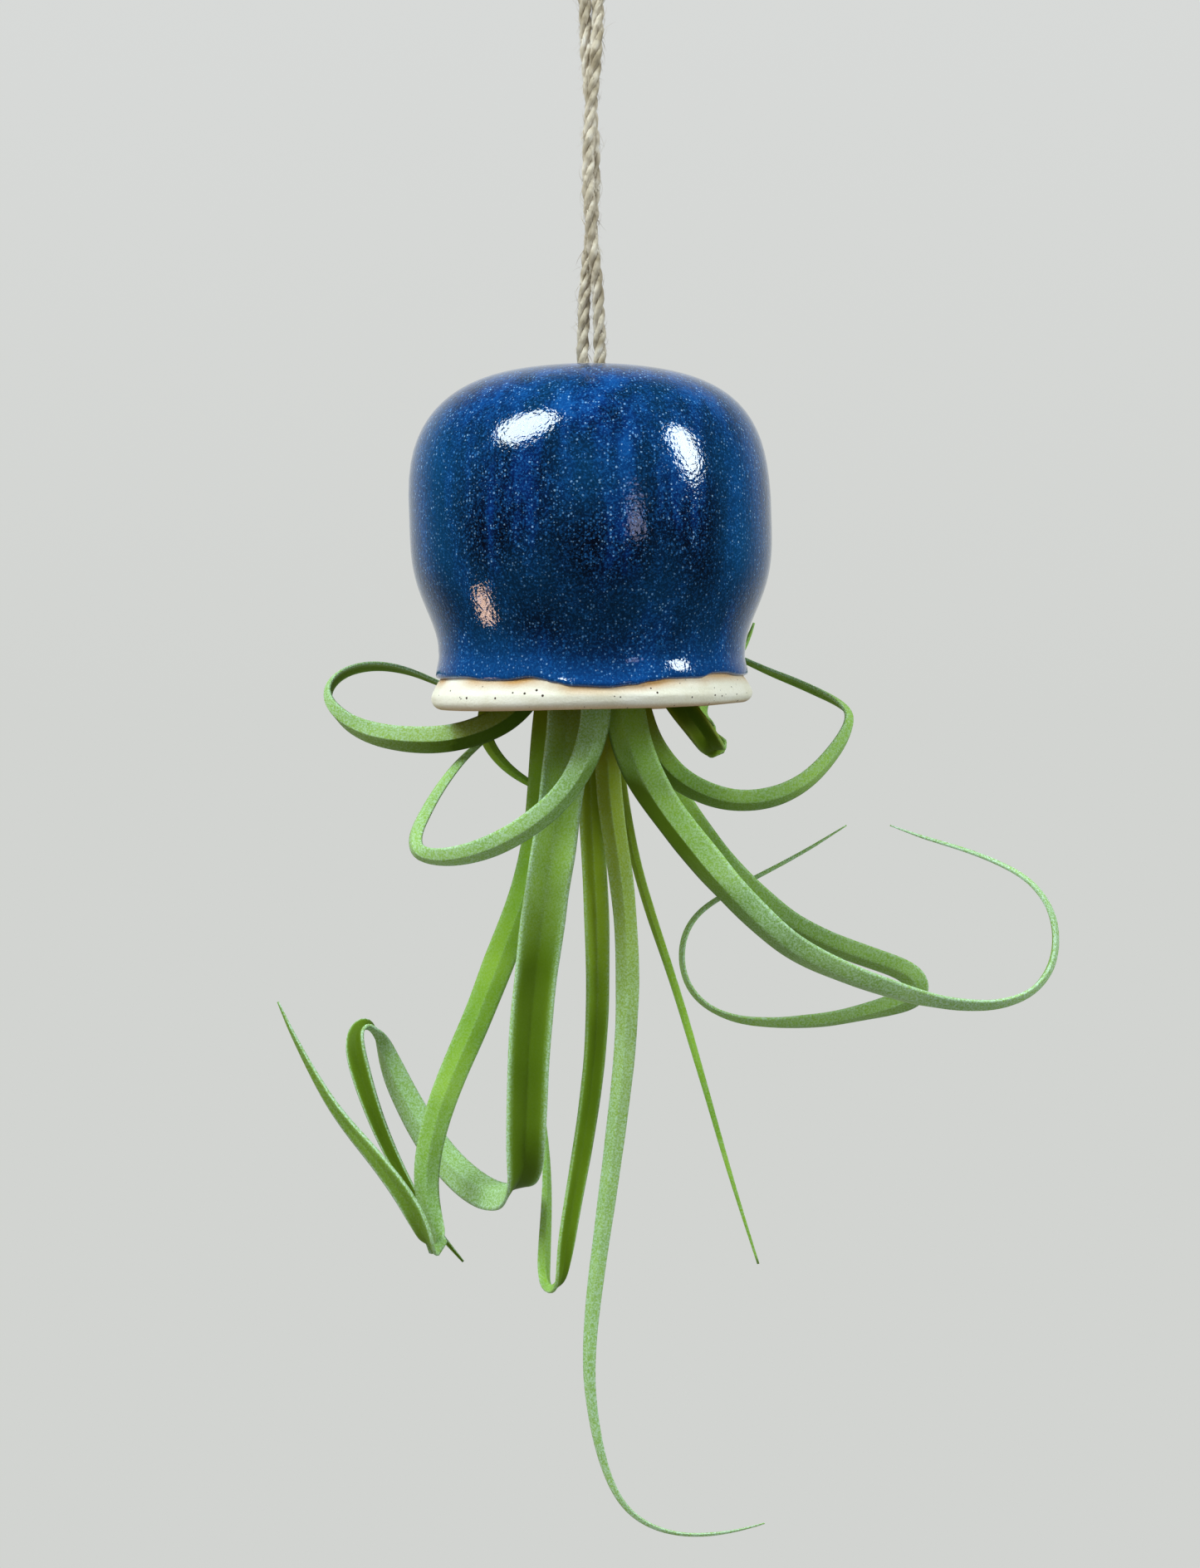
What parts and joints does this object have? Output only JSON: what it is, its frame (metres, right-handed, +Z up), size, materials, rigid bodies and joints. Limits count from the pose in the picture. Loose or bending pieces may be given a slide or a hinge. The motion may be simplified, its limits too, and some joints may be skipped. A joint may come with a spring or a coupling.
{
  "type": "air plant holder",
  "caption": "Glazed stoneware bell hung mouth down on a doubled jute twine, with an air plant head down in its neck so that its leaves trail like a jellyfish's arms.",
  "frame": {"origin": "the inside of the bight of the twine loop, where the hook carries it", "axes": "+Z up along the hanging twine and the bell's axis; the pictured front looks along -Y, with +X to its right"},
  "size_m": [0.1716, 0.0852, 0.3596],
  "materials": {
    "clay": "matte",
    "glaze": "gloss",
    "jute": "matte",
    "leaf": "matte",
    "leaf_base": "matte"
  },
  "bodies": {
    "cord": {"twine": "jute", "stopper_knot": "jute"},
    "bell": {"bell_body": "clay", "glaze_coat": "glaze"},
    "plant": {"plant_base": "leaf_base", "neck_leaf_right": "leaf_base", "neck_leaf_back": "leaf_base", "neck_leaf_left": "leaf_base", "leaf_left_loop": "leaf", "leaf_front_loop": "leaf", "leaf_back_strap": "leaf", "leaf_broad": "leaf", "leaf_creased": "leaf", "leaf_folded": "leaf", "leaf_trailing": "leaf", "leaf_needle": "leaf", "leaf_sweeping": "leaf", "leaf_spiral": "leaf", "leaf_right_loop": "leaf", "leaf_cropped": "leaf"}
  },
  "joints": [
    {"name": "bell_turn", "type": "hinge", "parent": "cord", "child": "bell", "pos_m": [0, 0, -0.1], "axis": [0, 0, 1], "continuous": true},
    {"name": "plant_pull", "type": "slide", "parent": "bell", "child": "plant", "axis": [0, 0, -1], "range_m": [0, 0.12]}
  ]
}
